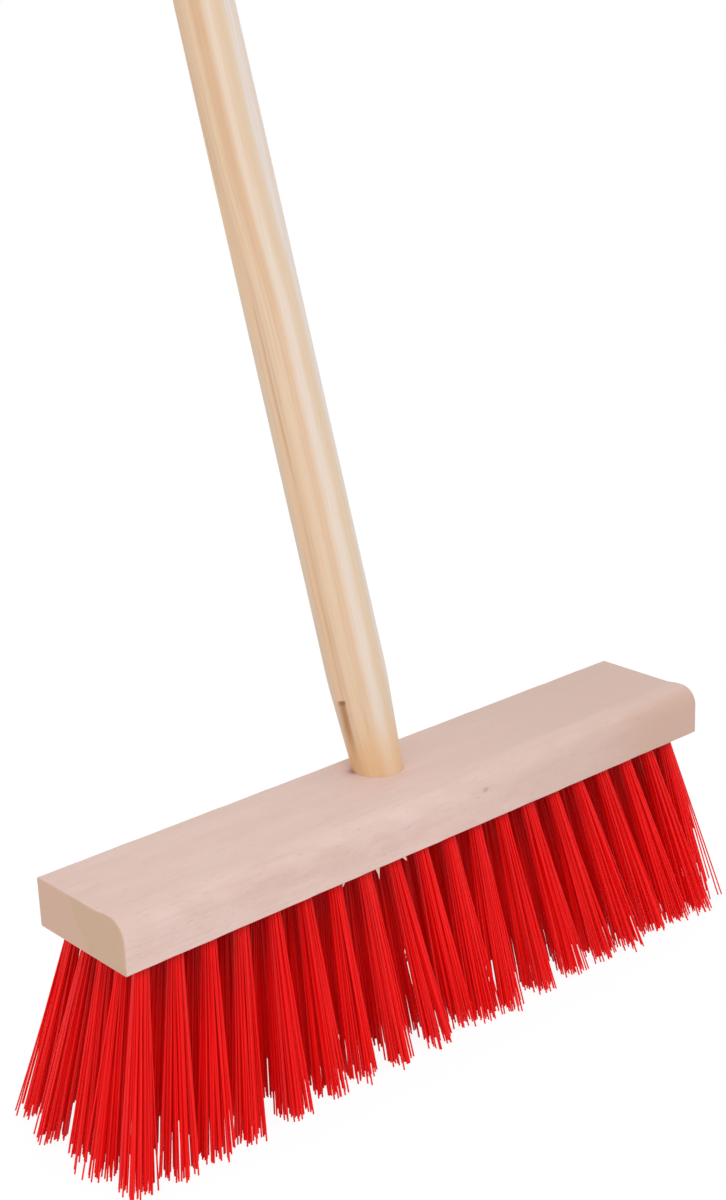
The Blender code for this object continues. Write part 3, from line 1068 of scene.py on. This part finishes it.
# %% The handle's finish
PINE_FIBRES = (0.6 * MM, 0.6 * MM, 24 * MM)
PINE_RELIEF = 0.1 * MM


def pine_finish():
    """The grain, thin late lines and fibres, then the foot, with fibres and lines in the bump."""
    finish = new_finish("pine", IOR=1.45)
    place = handle_coordinates(finish)
    u, depth, s = finish.axes(place)
    across, wobble = place_across(finish, place, u, s)
    patches = finish.noise(place, PATCHES).between(0.4, 0.7)
    lines = late_lines(across, wobble, patches)
    fibres = finish.noise(place, PINE_FIBRES)
    colour = finish.coats(
        pine_grain(finish, place, across, s, patches),
        (lines * 0.3, PINE_LATE),
        (fibres.between(0.4, 0.8) * 0.2, PINE_ORANGE),
    )
    finish.feed("Base Color", pine_foot(finish, colour, across, s, depth))
    finish.feed("Roughness", 0.44 + fibres * 0.16)
    finish.bump(fibres * 0.7 + lines * 0.3, PINE_RELIEF)
    return finish.owner


dress([handle], pine_finish())

# %% [markdown]
# ## Red plastic
# Extruded bristle is dyed right through and smooth, with a soft shine. Real bundles aren't one
# red: each bristle catches the light in its own way. An attribute holds a random shade for each
# of them, and it moves the colour a little between two reds. The plastic also lets some light
# through, so the gaps between real tufts stay red and never go black. A faint red glow is painted
# light that stands for it. Subsurface scattering would be the honest way, but it is lost when
# meshes are exported. Close under the block even that light is gone, so shade is painted there:
# the red deepens and the glow fades, most of all on the bristles that stand far inside, and just
# under the block's edge a painted shadow of its overhang darkens every bristle.

# %% The bristles' finish
RED_BRIGHT = paint(250, 20, 20)
RED_DEEP = paint(236, 10, 12)
RED_ROOT_SHADE = paint(130, 2, 4)
RED_GLOW = paint(255, 30, 26)
NO_GLOW = (0, 0, 0, 1)
LET_THROUGH = 0.04
ROOT_SHADE_DOWN_TO = 60 * MM
OVERHANG_SHADOW_FADES = (2 * MM, 8 * MM)


def bristle_finish():
    """Two reds, mixed by each bristle's own shade, and a third of painted shade near the roots."""
    constants = {"IOR": 1.5, "Specular_IOR_Level": 0.2, "Emission_Strength": LET_THROUGH}
    finish = new_finish("red_plastic", **constants)
    shade = finish.node("ShaderNodeAttribute", {"attribute_name": "shade"}, {}, "Fac")
    inner = finish.node("ShaderNodeAttribute", {"attribute_name": "inner"}, {}, "Fac")
    place = finish.node("ShaderNodeTexCoord", output="Object")
    below = underside - finish.axes(place)[2]
    overhang_shadow = 1 - below.between(*OVERHANG_SHADOW_FADES)
    # Painted shade: deeper red and less glow near the roots, most far inside, and a painted shadow
    # of the block's overhang just under its edge.
    painted_shade = (1 - below.between(0.0, ROOT_SHADE_DOWN_TO)) * (0.04 + inner * 0.38) + overhang_shadow * 0.32
    colour = finish.blend(shade, RED_DEEP, RED_BRIGHT)
    finish.feed("Base Color", finish.blend(painted_shade, colour, RED_ROOT_SHADE))
    finish.feed("Emission Color", finish.blend(painted_shade, RED_GLOW, NO_GLOW))
    finish.feed("Roughness", 0.34 + shade * 0.12)
    return finish.owner


dress(bristles, bristle_finish())

# %% [markdown]
# ## The stage
# The floor lies under the bristles' tips and looks white to the camera, and the world behind it
# too. Rays from the camera see that white, and so do rays that come by way of a mirror or glass.
# For every other ray the floor is a plain pale floor and the sky a little grey, so the broom is
# lit by lamps and sky alone. A share of the plain floor stays in the mix, and with it the shadow.
# That share is a little darker than white, and the glow a little brighter makes up for it.

# %% Floor and sky
FLOOR_HALF = 30.0
FLOOR_CLEARANCE = 0.5 * MM
FLOOR_GLOW = 1.03
FLOOR_GLOW_SHARE = 0.9
FLOOR_PALE = (0.95, 0.95, 0.95, 1)
WHITE = (1, 1, 1, 1)
SKY_STRENGTH = 0.74


def looks_there(finish):
    """1 for a ray from the camera, a mirror or glass, and 0 for a ray that lights the scene."""
    ray = finish.node("ShaderNodeLightPath", output="Is Camera Ray")
    seen = ray.math("MAXIMUM", ray.also("Is Glossy Ray"))
    return seen.math("MAXIMUM", ray.also("Is Transmission Ray"))


def make_floor(height):
    """A flat square that mixes a white glow into a pale surface for the rays that look there."""
    corners = np.array([(-1, -1, 0), (1, -1, 0), (1, 1, 0), (-1, 1, 0)]) * FLOOR_HALF
    mesh = bpy.data.meshes.new("floor")
    mesh.from_pydata((corners + (0, 0, height)).tolist(), [], [(0, 1, 2, 3)])
    floor = bpy.data.objects.new("floor", mesh)
    bpy.context.scene.collection.objects.link(floor)
    finish = new_finish("floor", Base_Color=FLOOR_PALE, Roughness=0.9)
    glow = finish.node("ShaderNodeEmission", {}, {"Color": WHITE, "Strength": FLOOR_GLOW})
    plain = Socket(finish, finish.shader.outputs[0])
    share = looks_there(finish) * FLOOR_GLOW_SHARE
    mix = finish.node("ShaderNodeMixShader", {}, {0: share, 1: plain, 2: glow})
    finish.tree.links.new(mix.link, finish.tree.nodes["Material Output"].inputs["Surface"])
    mesh.materials.append(finish.owner)


def make_sky():
    """A sky that is white where it is looked at and gives a plain level of light."""
    finish = Finish(bpy.data.worlds.new("sky"), "Background", Color=WHITE)
    finish.feed("Strength", looks_there(finish) * (1 - SKY_STRENGTH) + SKY_STRENGTH)
    bpy.context.scene.world = finish.owner


floor_height = solid_low[2] - FLOOR_CLEARANCE
make_floor(floor_height)
make_sky()
print("floor at, mm:", round(floor_height / MM, 1))

# %% [markdown]
# ## Light
# A cut-out product photograph is lit from all sides. The block's right end is a shade darker than
# its left one, which is nearer to the camera, so the main soft box stands beside the camera.
# Weaker ones fill from the right and from the left, and one lights the top.

# %% Soft boxes
def soft_box(name, place, aim, size, power):
    """A square area lamp at a place, turned to an aim point. Sizes in metres, power in watts."""
    lamp = bpy.data.lights.new(name, "AREA")
    lamp.size = size
    lamp.energy = power
    holder = bpy.data.objects.new(name, lamp)
    holder.location = place
    holder.rotation_euler = (Vector(aim) - Vector(place)).to_track_quat("-Z", "Y").to_euler()
    bpy.context.scene.collection.objects.link(holder)


LAMPS = {
    "beside_camera": {"place": (-0.5, -1.8, 1.6), "aim": (0, 0, 0), "size": 1.3, "power": 10.5},
    "right_fill": {"place": (2.0, -0.9, 1.3), "aim": (0, 0, 0.1), "size": 1.6, "power": 4},
    "left_fill": {"place": (-2.0, -0.4, 1.2), "aim": (0, 0, 0.2), "size": 1.6, "power": 3},
    "top": {"place": (0.0, 0.3, 2.5), "aim": (0, 0, 0), "size": 1.5, "power": 5.5},
}
for name, facts in LAMPS.items():
    soft_box(name, **facts)
print("lamps:", len(LAMPS), "watts:", sum(facts["power"] for facts in LAMPS.values()))

# %% [markdown]
# ## Camera
# The photographer stood to the left of the broom's front and looked down on it, with the camera
# turned a little clockwise. The place comes from the block's corners, whose real distances are
# known: only one camera sees a box of those sizes in that outline.

# %% The photograph's camera
CAMERA_PLACE = (-643.55 * MM, -728.85 * MM, 428.44 * MM)
HEADING_DEG = 40.62
DOWN_DEG = 18.79
ROLL_DEG = -2.30
FOCAL_PIXELS = 2015.5
IMAGE_HEIGHT = 1200
SENSOR = 36.0
NEAREST = 50 * MM


def make_camera():
    """Turn by the roll about its own axis, tilt up from looking down, then swing to the heading."""
    data = bpy.data.cameras.new("camera")
    data.sensor_fit = "AUTO"
    data.sensor_width = SENSOR
    data.lens = SENSOR * FOCAL_PIXELS / IMAGE_HEIGHT
    data.clip_start = NEAREST
    camera = bpy.data.objects.new("camera", data)
    swing = Matrix.Rotation(-math.radians(HEADING_DEG), 4, "Z")
    tilt = Matrix.Rotation(math.radians(90 - DOWN_DEG), 4, "X")
    roll = Matrix.Rotation(math.radians(ROLL_DEG), 4, "Z")
    camera.matrix_world = Matrix.Translation(CAMERA_PLACE) @ swing @ tilt @ roll
    bpy.context.scene.collection.objects.link(camera)
    bpy.context.scene.camera = camera


make_camera()
bpy.context.scene.view_settings.view_transform = "Standard"
print("lens, mm:", round(bpy.context.scene.camera.data.lens, 2))
